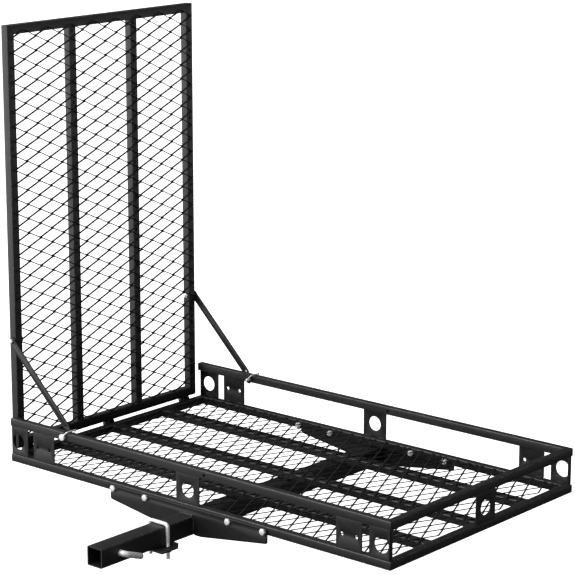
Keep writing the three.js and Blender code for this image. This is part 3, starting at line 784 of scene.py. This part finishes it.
# ------------------------------------------------------------------------ deck
def deck_frame():
    """The mitred tube frame with three channels, open side down, along it."""
    half = FRAME / 2
    size = dict(u_size=FRAME, v_size=FRAME, wall=2.0, r=2.6)
    far_x, far_y = DECK_LENGTH - half, DECK_WIDTH - half
    near_cuts, far_cuts = (MITRE_B, MITRE_A), (MITRE_A, MITRE_B)
    deck = Shell()
    for y, cuts in ((half, near_cuts), (far_y, far_cuts)):
        deck.join(tube((half, y, half), (far_x, y, half), Y, Z, cuts=cuts, **size))
    for x, cuts in ((half, near_cuts), (far_x, far_cuts)):
        deck.join(tube((x, half, half), (x, far_y, half), X, Z, cuts=cuts, **size))
    for x, q in ((0, 1), (DECK_LENGTH, -1)):
        for y, k in ((0, 1), (DECK_WIDTH, -1)):
            deck.join(weld((x + q * 2.5, y + k * 2.5, FRAME - 0.5),
                           (x + q * (FRAME - 2.5), y + k * (FRAME - 2.5), FRAME - 0.5), 1.0, 2.6))
    # Y from the middle, Z
    channel = ([(-15.5, 0.0), (-13.5, 0.0), (-13.0, 0.5)]
               + arc(-11.4, 14.4, 1.6, 180, 90, 3) + arc(11.4, 14.4, 1.6, 90, 0, 3)
               + [(13.0, 0.5), (13.5, 0.0), (15.5, 0.0), (16.0, 0.5)]
               + arc(13.6, 16.6, 2.4, 0, 90, 4) + arc(-13.6, 16.6, 2.4, 90, 180, 4)
               + [(-16.0, 0.5)])
    for y in BAR_YS:
        deck.join(bar(channel, (FRAME - 0.2, y, 0), (DECK_LENGTH - FRAME + 0.2, y, 0), Y, Z))
        for x in (FRAME + 0.5, DECK_LENGTH - FRAME - 0.5):
            seam_z = BAR_HEIGHT - 0.3
            deck.join(weld((x, y - 15, seam_z), (x, y + 15, seam_z), 2.0))
            for q in (-1, 1):
                deck.join(weld((x, y + q * 16, 1.5), (x, y + q * 16, 16), 1.8))
    piece("deck_frame_welded", deck, COAT_SHADED_LOW, "base", "deck_frame")


def deck_mesh():
    """The deck's sheet, with stitch welds that slant where they cross a channel."""
    sheet = expanded_metal((FRAME + 0.6, DECK_WIDTH - FRAME - 0.6),
                           (FRAME + 0.6, DECK_LENGTH - FRAME - 0.6),
                           pitch=(85.0, 40.3), phase=(397.0, 344.2), tilt=6.0,
                           place=lambda u, v, z: (v, u, BAR_HEIGHT + 1.7 + z))
    seams = [(FRAME + 1.0, 0), *((y, 1.2) for y in BAR_YS), (DECK_WIDTH - FRAME - 1.0, 0)]
    for x in range(40, 1270, 121):
        for y, slant in seams:
            sheet.join(weld((x, y - slant, BAR_HEIGHT + 1.2),
                            (x + 9, y + slant, BAR_HEIGHT + 1.4), 1.8))
    piece("deck_expanded_metal", sheet, COAT_MESH, "base", "deck_mesh")


# ----------------------------------------------------------------------- rails
# first X, last X, holes as (X, (radius, segments))
POSTS = (
    (2.5, 65, [(28, END_HOLE)]),
    (87, 166, [(103.5, SMALL_HOLE), (148, SMALL_HOLE)]),
    (610.5, 689.5, [(650, MIDDLE_HOLE)]),
    (1134, 1213, [(DECK_LENGTH - 103.5, SMALL_HOLE), (DECK_LENGTH - 148, SMALL_HOLE)]),
    (1235, 1296.5, [(DECK_LENGTH - 28, END_HOLE)]),
)


def side_rails():
    """Each side's top tube, drilled for the lock pin, on plate posts."""
    middle_y = RAIL_WIDTH / 2
    top = tube((0, middle_y, RAIL_Z), (DECK_LENGTH - RAIL_WIDTH / 2 - 0.3, middle_y, RAIL_Z),
               Y, Z, RAIL_WIDTH, RAIL_HEIGHT, cuts=(X, MITRE_A))
    rail = drilled(top, [cylinder(-6, 30, 4.5, (LOCK_PIN[0], 0, LOCK_PIN[1]), Y, 28),
                         cylinder(-6, 30, 4.0, (707.5, 0, 110), Y, 28)])
    for x0, x1, holes in POSTS:
        cut = [circle(x, POST_HOLE_Z, *size) for x, size in holes]
        rail.join(plate(rounded_rect(x0, x1, POST_BOTTOM, POST_TOP, 1.2, 3), cut,
                        "y", 0.5, 3.5, bevel=0.45))
    # plates across the ends
    for x in (2.5, 1293.5):
        outline = rounded_rect(0.6, 13, POST_BOTTOM, RAIL_TOP - RAIL_HEIGHT - 0.2, 1.0, 3)
        rail.join(plate(outline, [], "x", x, x + 3, bevel=0.45))
    for x0, x1, _ in POSTS:
        for x in ([x0 + 6, x1 - 26] if x1 - x0 > 70 else [(x0 + x1) / 2 - 12]):
            for z, radius in ((POST_BOTTOM + 0.5, 2.0), (POST_TOP - 1.6, 1.9)):
                rail.join(weld((x, 4.2, z), (x + 22, 4.2, z), radius))
    for side in SIDES:
        piece(f"{side}_side_rail", rail.on_side(side), COAT_RAIL, "base", f"{side}_rail")


def end_rail():
    """The rail across the end away from the ramp, on one post."""
    middle = DECK_WIDTH / 2
    x = DECK_LENGTH - RAIL_WIDTH / 2
    rail = tube((x, RAIL_WIDTH / 2 + 0.3, RAIL_Z), (x, DECK_WIDTH - RAIL_WIDTH / 2 - 0.3, RAIL_Z),
                X, Z, RAIL_WIDTH, RAIL_HEIGHT, cuts=(MITRE_A, MITRE_B))
    rail.join(plate(rounded_rect(middle - 40, middle + 40, POST_BOTTOM, POST_TOP, 1.2, 3),
                    [circle(middle, POST_HOLE_Z, *MIDDLE_HOLE)],
                    "x", DECK_LENGTH - 3.5, DECK_LENGTH - 0.5, bevel=0.45))
    seam_x = DECK_LENGTH - 4.2
    for y in (middle - 34, middle + 12):
        for z, radius in ((FRAME + 0.6, 2.0), (98.4, 1.9)):
            rail.join(weld((seam_x, y, z), (seam_x, y + 22, z), radius))
    for y, q in ((0, 1), (DECK_WIDTH, -1)):
        rail.join(weld((DECK_LENGTH - 1.6, y + q * 1.6, 100.5),
                       (DECK_LENGTH - 18.5, y + q * 18.5, 98.9), 1.2, 2.4))
    piece("end_cross_rail", rail, COAT_RAIL, "base", "end_rail")


# ----------------------------------------------------- hitch tube and brackets
def hitch_tube():
    """The square tube under the deck, drilled for the hitch pin."""
    solid = bar(rounded_rect(-25, 25, -25, 25, 4.0, 5),
                (TUBE_X, -330, TUBE_Z), (TUBE_X, 767.3, TUBE_Z), X, Z,
                hollow=rounded_rect(-22, 22, -22, 22, 1.6, 5))
    tube_shell = drilled(solid, [cylinder(-40, 40, 8.4, (TUBE_X, HITCH_PIN_Y, TUBE_Z), X, 40)])
    # the tube's own seam weld, a low ridge along the inside
    seam = [(TUBE_X - 15, -329.0 + i * 60.8, TUBE_Z - 22.1) for i in range(19)]
    tube_shell.join(rod(seam, 0.9, 8))
    piece("hitch_square_tube", tube_shell, COAT_SHADED_LOW, "base", "hitch_tube")


def brackets():
    """Plates outside the deck frame, notched over the hitch tube, and their bolts."""
    # X, Z from the top corner at the ramp end to the notch
    half = [(381, 17), (381, -21), (600, -53.5), (624.7, -53.5), (624.7, -3.0)]
    outline = half + [(DECK_LENGTH - x, z) for x, z in reversed(half)]
    holes = [circle(x, BRACKET_BOLT_Z, 5.4, 24) for x in BRACKET_BOLT_XS]
    bracket = plate(soften(outline, 5.0), holes, "y", -5.3, -0.3, bevel=0.6)
    # start X, Z and end X, Z of the welds round the notch
    for x0, z0, x1, z1 in ((626, -2.2, 674, -2.2), (624.2, -6, 624.2, -50),
                           (675.8, -6, 675.8, -50)):
        # a mark of 1 gives these welds the coat's lighter edge colour: a painted highlight
        bracket.join(weld((x0, -6.0, z0), (x1, -6.0, z1), 2.4, 3.2, wear_and_highlight_mark=1.0))
    for side in SIDES:
        piece(f"{side}_bracket_plate", bracket.on_side(side), COAT_SHADED_LOW, "base", f"bracket_{side}")
    for i, x in enumerate(BRACKET_BOLT_XS, 1):
        screw = bolt((x, -5.6, BRACKET_BOLT_Z), **LARGE_BOLT)
        nut = hexagon((x, FRAME + 0.3, BRACKET_BOLT_Z), Y, **LARGE_NUT)
        for side in SIDES:
            for kind, shell in (("bolt", screw), ("nut", nut)):
                piece(f"{side}_bracket_hex_{kind}_{i}", shell.on_side(side), ZINC, "base",
                      f"bracket_{side}_{kind}_{i}")


# ------------------------------------------------------------------------ ramp
def ramp_frame():
    """The upright ramp's mitred tubes, two middle uprights and hinge knuckles."""
    half = RAMP_BAR / 2
    y0, y1 = RAMP_Y0 + half, RAMP_Y1 - half
    z0, z1 = RAMP_Z0 + half, RAMP_Z1 - half
    # normals of the corner cuts
    rising, falling = (0, RAMP_BAR, RAMP_BAR), (0, -RAMP_BAR, RAMP_BAR)
    near_cuts, far_cuts = (falling, rising), (rising, falling)
    frame = Shell()
    for y, cuts in ((y0, near_cuts), (y1, far_cuts)):
        frame.join(tube((RAMP_X, y, z0), (RAMP_X, y, z1), X, Y, RAMP_DEPTH, RAMP_BAR, cuts))
    for z, cuts in ((z0, near_cuts), (z1, far_cuts)):
        frame.join(tube((RAMP_X, y0, z), (RAMP_X, y1, z), X, Z, RAMP_DEPTH, RAMP_BAR, cuts))
    for y in RAMP_MIDDLE_YS:
        frame.join(tube((RAMP_X, y, RAMP_Z0 + RAMP_BAR - 0.4),
                        (RAMP_X, y, RAMP_Z1 - RAMP_BAR + 0.4), X, Y, RAMP_DEPTH - 0.5, RAMP_BAR))
        for z in (RAMP_Z0 + RAMP_BAR, RAMP_Z1 - RAMP_BAR):
            for x in (RAMP_X0 + 0.5, RAMP_X1 - 0.5):
                frame.join(weld((x, y - 9, z), (x, y + 9, z), 1.9))
            for q in (-1, 1):
                seam_y = y + q * RAMP_BAR / 2
                frame.join(weld((RAMP_X0 + 3, seam_y, z), (RAMP_X1 - 3, seam_y, z), 1.8))
    for y, q in ((RAMP_Y0, 1), (RAMP_Y1, -1)):
        for z, k in ((RAMP_Z0, 1), (RAMP_Z1, -1)):
            for x in (RAMP_X0 + 0.2, RAMP_X1 - 0.2):
                frame.join(weld((x, y + q * 2.5, z + k * 2.8),
                                (x, y + q * (RAMP_BAR - 1.5), z + k * (RAMP_BAR - 1.7)), 1.0, 2.4))
    radius = 7.5
    knuckle = arc(HINGE_X, HINGE_Z, radius, 180, 360, 16)
    knuckle += [(HINGE_X + radius, RAMP_Z0 + 0.6), (HINGE_X - radius, RAMP_Z0 + 0.6)]
    for y in HINGE_YS:
        frame.join(plate(knuckle, [circle(HINGE_X, HINGE_Z, 4.4, 28)],
                         "y", y - 6, y + 6, bevel=0.5))
        for q in (-1, 1):
            frame.join(weld((HINGE_X - 6, y + q * 6.0, RAMP_Z0),
                            (HINGE_X + 6, y + q * 6.0, RAMP_Z0), 0.8, 1.6))
    piece("ramp_tube_frame", frame, COAT_RAIL, "ramp", "ramp_frame")


def ramp_mesh():
    """The ramp's sheet on its deck side, with stitch welds."""
    sheet = expanded_metal((RAMP_Y0 + 8, RAMP_Y1 - 10), (RAMP_Z0 + 6, RAMP_Z1 - 8),
                           pitch=(85.6, 38.8), phase=(127.6, 1141.6), tilt=-58.0,
                           place=lambda u, v, z: (RAMP_X1 + 2.15 + z, u, v))
    for z in range(70, 1160, 97):
        for y in (39, *RAMP_MIDDLE_YS, 723):
            sheet.join(weld((-0.8, y - 3, z), (-0.6, y - 1, z + 9), 1.9))
    piece("ramp_expanded_metal", sheet, COAT_MESH, "ramp", "ramp_mesh")


def hinges():
    """Two-eared clevises on the deck frame, each with a bolt and nut."""
    ear = [(-0.3, 3.5)] + arc(HINGE_X, HINGE_Z, 8.2, -90, -270, 18) + [(-0.3, 24)]
    for i, y in enumerate(HINGE_YS, 1):
        clevis = Shell()
        for start in (-11, 7):
            clevis.join(plate(ear, [circle(HINGE_X, HINGE_Z, 4.3, 28)],
                              "y", y + start, y + start + 4, bevel=0.45))
        clevis.join(plate(rounded_rect(y - 11, y + 11, 3, 19.5, 1.0, 3), [],
                          "x", -3.1, -0.3, bevel=0.4))
        for q in (-1, 1):
            clevis.join(weld((-0.6, y + q * 11.6, 4), (-0.6, y + q * 11.6, 18.5), 1.9))
        screw = bolt((HINGE_X, y - 11.3, HINGE_Z), length=31, **SMALL_BOLT)
        nut = hexagon((HINGE_X, y + 11.3, HINGE_Z), Y, **SMALL_NUT)
        piece(f"hinge_clevis_{i}", clevis, COAT_SHADED_LOW, "base", f"hinge_bracket_{i}")
        piece(f"hinge_hex_bolt_{i}", screw, COAT_SHADED_LOW, "base", f"hinge_bolt_{i}")
        piece(f"hinge_hex_nut_{i}", nut, COAT_SHADED_LOW, "base", f"hinge_nut_{i}")


# ---------------------------------------------------------------- support arms
def heading(vector):
    return math.degrees(math.atan2(vector[1], vector[0]))


def arm_plate():
    """A cranked flat arm from the ramp to an open hook over the lock pin."""
    half_width, hook_radius, slot_radius = 10, 12, 4.8
    mouth = -36.87              # direction the hook opens, in degrees
    lip = 23.58                 # half the mouth's angle at the hook's outer edge
    top, crank, hook = np.array(ARM_TOP), np.array((191.0, 131.0)), np.array(LOCK_PIN)
    along0 = (crank - top) / np.linalg.norm(crank - top)
    along1 = (hook - crank) / np.linalg.norm(hook - crank)
    normal0 = np.array((-along0[1], along0[0]))
    normal1 = np.array((-along1[1], along1[0]))
    # where the arm's sides meet the hook's circle
    back = math.sqrt(hook_radius ** 2 - half_width ** 2)
    join0 = -along1 * back + normal1 * half_width
    join1 = -along1 * back - normal1 * half_width
    outline = arc(*top, half_width, heading(normal0) + 180, heading(normal0), 16)
    outline += arc(*crank, half_width, heading(normal0), heading(normal1), 5)
    outline += arc(*hook, hook_radius, heading(join0), mouth + lip, 10)
    outline += arc(*hook, slot_radius, mouth + 90, mouth + 270, 16)
    outline += arc(*hook, hook_radius, mouth - lip, heading(join1) - 360, 14)
    inner = crank - (normal0 + normal1) * half_width / (1 + normal0 @ normal1)
    outline.append(tuple(inner))
    holes = [circle(*top, 4.4, 28), circle(192.5, 132.5, 3.25, 20)]
    return plate(outline, holes, "y", 21, 25.5, bevel=0.55)


def support_arms():
    """Each side's arm with its bolt, spacer and nut on the ramp."""
    x, z = ARM_TOP
    arm = arm_plate()
    # name, replaced piece, shell
    hardware = (
        ("hex_bolt", "bolt", bolt((x, 20.7, z), length=42, **SMALL_BOLT)),
        ("spacer", "washer", washer((x, 25.8, z), Y, r_in=4.35, r_out=8, thick=1.9)),
        ("hex_nut", "nut", hexagon((x, 53.3, z), Y, **SMALL_NUT)),
    )
    for side in SIDES:
        piece(f"{side}_support_arm", arm.on_side(side), COAT_RAIL, f"arm_{side}", f"arm_{side}")
        for name, replaced, shell in hardware:
            piece(f"{side}_arm_{name}", shell.on_side(side), ZINC, "ramp",
                  f"arm_{replaced}_{side}")


# ------------------------------------------------------------------------ pins
def lock_pins():
    """Headed pins through the side rails, each with a wire bail that swings round its end."""
    # distance along Y, radius
    profile = [(-8.2, 7.6), (-8.0, 8.2), (-7.2, 8.9), (-6.4, 9.0), (-1.4, 9.0), (-0.7, 8.7),
               (-0.4, 8.2), (-0.35, 4.0), (33.8, 4.0), (35.0, 3.4), (36.0, 2.2)]
    pin = lathe(profile, (LOCK_PIN[0], 0, LOCK_PIN[1]), Y, 36)
    diagonal = math.sqrt(0.5)   # the bail leans at 45 degrees, up and away from the ramp

    def at(reach, y):
        return (LOCK_PIN[0] + reach * diagonal, y, LOCK_PIN[1] + reach * diagonal)

    wire = bent([at(9.6, -4.4), at(24, -4.4), at(24, 33), at(5.6, 33)], 6.0)
    eye_profile = [(-1.9, 1.6), (1.9, 1.6), (1.9, 2.6), (1.4, 3.1), (-1.4, 3.1), (-1.9, 2.6)]
    eye = ring_lathe(eye_profile, at(11, -4.4), (diagonal, 0, -diagonal), 20)
    bail = rod(wire, 1.5, 14).join(eye)
    for side in SIDES:
        for name, kind, shell, finish in (("ramp_lock_pin", "pin", pin, ZINC),
                                          ("lock_pin_bail", "bail", bail, CHROME)):
            part = f"lock_{kind}_{side}"
            piece(f"{side}_{name}", shell.on_side(side), finish, part, part)


def hitch_pin():
    """The pin across the hitch tube, bent to a drooping handle, cross-drilled at its tip."""
    radius, handle_length, droop = 7.9, 60, math.radians(20)
    elbow = np.array((691.0, HITCH_PIN_Y, TUBE_Z))
    handle = elbow + np.array((0, math.cos(droop), -math.sin(droop))) * handle_length
    direction = (handle - elbow) / handle_length
    path = bent([(596, HITCH_PIN_Y, TUBE_Z), elbow, handle], 13, 12)
    # distance from the end, radius
    tip = [(0.0, 4.6), (0.5, 6.4), (1.3, 7.5), (2.4, radius)]
    butt = [(1.6, radius), (0.7, 7.5), (0.2, 6.8), (0.0, 5.6)]
    points = [path[0] + np.array((k, 0, 0)) for k, _ in tip] + path[1:-1]
    points += [handle - direction * k for k, _ in butt]
    radii = [r for _, r in tip] + [radius] * (len(path) - 2) + [r for _, r in butt]
    cross = cylinder(-14, 14, 2.3, (CLIP_X, HITCH_PIN_Y, TUBE_Z), Y, 20)
    pin = drilled(rod(points, radii, 32), [cross])
    piece("bent_hitch_pin", pin, CHROME, "hitch_pin", "hitch_pin")


def hitch_clip():
    """A hairpin with one leg through the hitch pin and one sprung under it."""
    # Y from the pin, Z from the pin, bend radius
    corners = ((-24, 0, 0), (42, 0, 5), (42, -15, 5), (12, -15, 8), (-1, -10.4, 8), (-18, -15, 0))
    path = bent([(CLIP_X, HITCH_PIN_Y + y, TUBE_Z + z) for y, z, _ in corners],
                [r for _, _, r in corners])
    clip = rod(path, [1.2] + [1.75] * (len(path) - 2) + [1.2], 14)
    piece("hairpin_clip", clip, CHROME, "hitch_clip", "hitch_clip")


# ------------------------------------------------------------------ stabiliser
def clamp_plate():
    """The plate under the hitch tube, with two upstands at its rear edge."""
    holes = [circle(650 + q * U_BOLT_LEG, U_BOLT_Y, 5.5, 28) for q in (-1, 1)]
    clamp = plate(rounded_rect(596, 704, -150, -91, 2.0), holes,
                  "z", CLAMP_Z0, CLAMP_Z1, bevel=0.6)
    for x0, x1 in ((596, 624), (676, 704)):
        clamp.join(plate(rounded_rect(x0, x1, CLAMP_Z1 - 1, CLAMP_Z1 + 10, 1.2, 3), [],
                         "y", -95.5, -91, bevel=0.5))
        clamp.join(weld((x0 + 2, -96.0, CLAMP_Z1 + 0.3), (x1 - 2, -96.0, CLAMP_Z1 + 0.3), 1.8))
    piece("stabiliser_clamp_plate", clamp, COAT_SHADED_LOW, "stabiliser", "stabiliser_plate")


def u_bolt():
    """The square U-bolt over the hitch tube, threaded at both legs, with washers and nuts."""
    left, right = TUBE_X - U_BOLT_LEG, TUBE_X + U_BOLT_LEG
    corners = ((left, -47), (left, 2.0), (right, 2.0), (right, -47))
    bend = bent([(x, U_BOLT_Y, z) for x, z in corners], 9.3, 12)
    thread_top, thread_end, step = -47.5, -88, 0.75
    count = int((thread_top - thread_end) / step)
    heights = [thread_top + (thread_end - thread_top) * i / count for i in range(count + 1)]
    # crest and root in turn, down to a chamfered end
    radii = [U_BOLT_RADIUS if i % 2 else 4.4 for i in range(count)] + [3.9]
    points = [(left, U_BOLT_Y, z) for z in reversed(heights)] + bend
    points += [(right, U_BOLT_Y, z) for z in heights]
    shell = rod(points, radii[::-1] + [U_BOLT_RADIUS] * len(bend) + radii, 20)
    piece("square_u_bolt", shell, CHROME, "stabiliser", "u_bolt")
    for side, x in (("left", left), ("right", right)):
        ring = washer((x, U_BOLT_Y, CLAMP_Z0 - 0.3), DOWN, r_in=5.35, r_out=10, thick=2.0)
        nut = hexagon((x, U_BOLT_Y, CLAMP_Z0 - 2.6), DOWN, across=16, height=8.0, bore=5.05)
        piece(f"u_bolt_flat_washer_{side}", ring, ZINC, "stabiliser", f"u_bolt_washer_{side}")
        piece(f"u_bolt_hex_nut_{side}", nut, ZINC, "stabiliser", f"u_bolt_nut_{side}")


# ------------------------------------------------- floor, world, lights, camera
BRIGHT_SIDE = (-0.665, -0.747)      # horizontal direction of the studio's bright side
FAR_SIDE = (0.665, 0.747)           # the opposite direction
FLOOR_Z = -0.434                    # the vehicle holds the carrier above the floor


def floor_material():
    """Pale and even to the camera; to other rays, a glow that varies across the studio."""
    material, shader, surface, output = new_material("pale_floor")
    surface.inputs["Base Color"].default_value = (0.80, 0.80, 0.80, 1)
    surface.inputs["Roughness"].default_value = 0.9
    surface.inputs["Specular IOR Level"].default_value = 0.0
    surface.inputs["Emission Color"].default_value = (1, 1, 1, 1)
    # emission 0.76 near the middle, 0.30 more beyond 3.2 m
    position = shader.node("NewGeometry").outputs["Position"]
    length = shader.node("VectorMath")
    length.operation = "LENGTH"
    shader.feed(position, length.inputs[0])
    past = shader.math("SUBTRACT", length.outputs["Value"], 1.2)
    far = shader.math("DIVIDE", past, 2.0, clamp=True)
    emission = shader.add(shader.multiply(far, 0.30), 0.76)
    shader.feed(emission, surface.inputs["Emission Strength"])

    glow = shader.node("Emission")
    near_side = shader.side_glow(position, BRIGHT_SIDE, start=1.5, end=4.8, dark=0.05, bright=2.3)
    far_side = shader.side_glow(position, FAR_SIDE, start=3.4, end=8.2, dark=0.0, bright=0.9)
    shader.feed(shader.add(near_side, far_side), glow.inputs["Strength"])
    pick = shader.node("MixShader")
    shader.feed(shader.node("LightPath").outputs["Is Camera Ray"], pick.inputs[0])
    shader.feed(glow.outputs[0], pick.inputs[1])
    shader.feed(surface.outputs[0], pick.inputs[2])
    shader.feed(pick.outputs[0], output.inputs[0])
    return material


def build_floor():
    radius, segments = 60.0, 96
    mesh = bpy.data.meshes.new("floor")
    rim = [(x, y, FLOOR_Z) for x, y in circle(0, 0, radius, segments)]
    mesh.from_pydata(rim, [], [tuple(range(segments))])
    floor = link_object("floor", mesh)
    mesh.materials.append(floor_material())


def build_world():
    """White to the camera; to other rays, brighter towards one side."""
    world = bpy.data.worlds.new("studio")
    scene.world = world
    world.use_nodes = True
    shader = Shader(world.node_tree)
    background = shader.tree.nodes["Background"]
    background.inputs[0].default_value = (1, 1, 1, 1)
    direction = shader.node("TexCoord").outputs["Generated"]
    strength = shader.node("Mix")
    strength.data_type = "FLOAT"
    shader.feed(shader.node("LightPath").outputs["Is Camera Ray"], strength.inputs[0])
    glow = shader.side_glow(direction, BRIGHT_SIDE, start=-0.1, end=0.95, dark=0.06, bright=2.2)
    shader.feed(glow, strength.inputs[2])
    strength.inputs[3].default_value = 1.0
    shader.feed(strength.outputs[0], background.inputs[1])


def softbox(name, place, target, size, energy):
    """A square area light aimed at a point."""
    light = bpy.data.lights.new(name, "AREA")
    light.shape = "RECTANGLE"
    light.size = size
    light.size_y = size
    light.energy = energy
    obj = link_object(name, light)
    obj.location = place
    aim = Vector(target) - Vector(place)
    obj.rotation_euler = aim.to_track_quat("-Z", "Y").to_euler()


def build_camera():
    data = bpy.data.cameras.new("camera")
    camera = link_object("camera", data)
    data.sensor_width = 36.0
    data.lens = 142.49
    data.clip_start, data.clip_end = 0.1, 200.0
    camera.location = (3.74485, -3.65122, 1.9372)
    camera.rotation_euler = (math.radians(76.59), 0.0, math.radians(40.60))
    scene.camera = camera


deck_frame()
deck_mesh()
side_rails()
end_rail()
hitch_tube()
brackets()
ramp_frame()
ramp_mesh()
hinges()
support_arms()
lock_pins()
hitch_pin()
hitch_clip()
clamp_plate()
u_bolt()

build_floor()
build_world()
softbox("key", place=(-1.6, -3.2, 4.2), target=(0, 0.7, 0.3), size=3.0, energy=165)
softbox("fill", place=(3.6, -1.2, 3.2), target=(0, 0.7, 0.3), size=2.4, energy=24)
softbox("top", place=(0.2, 0.9, 4.6), target=(0, 0.7, 0.0), size=3.4, energy=36)
build_camera()
scene.view_settings.view_transform = "Standard"
scene.view_settings.look = "None"
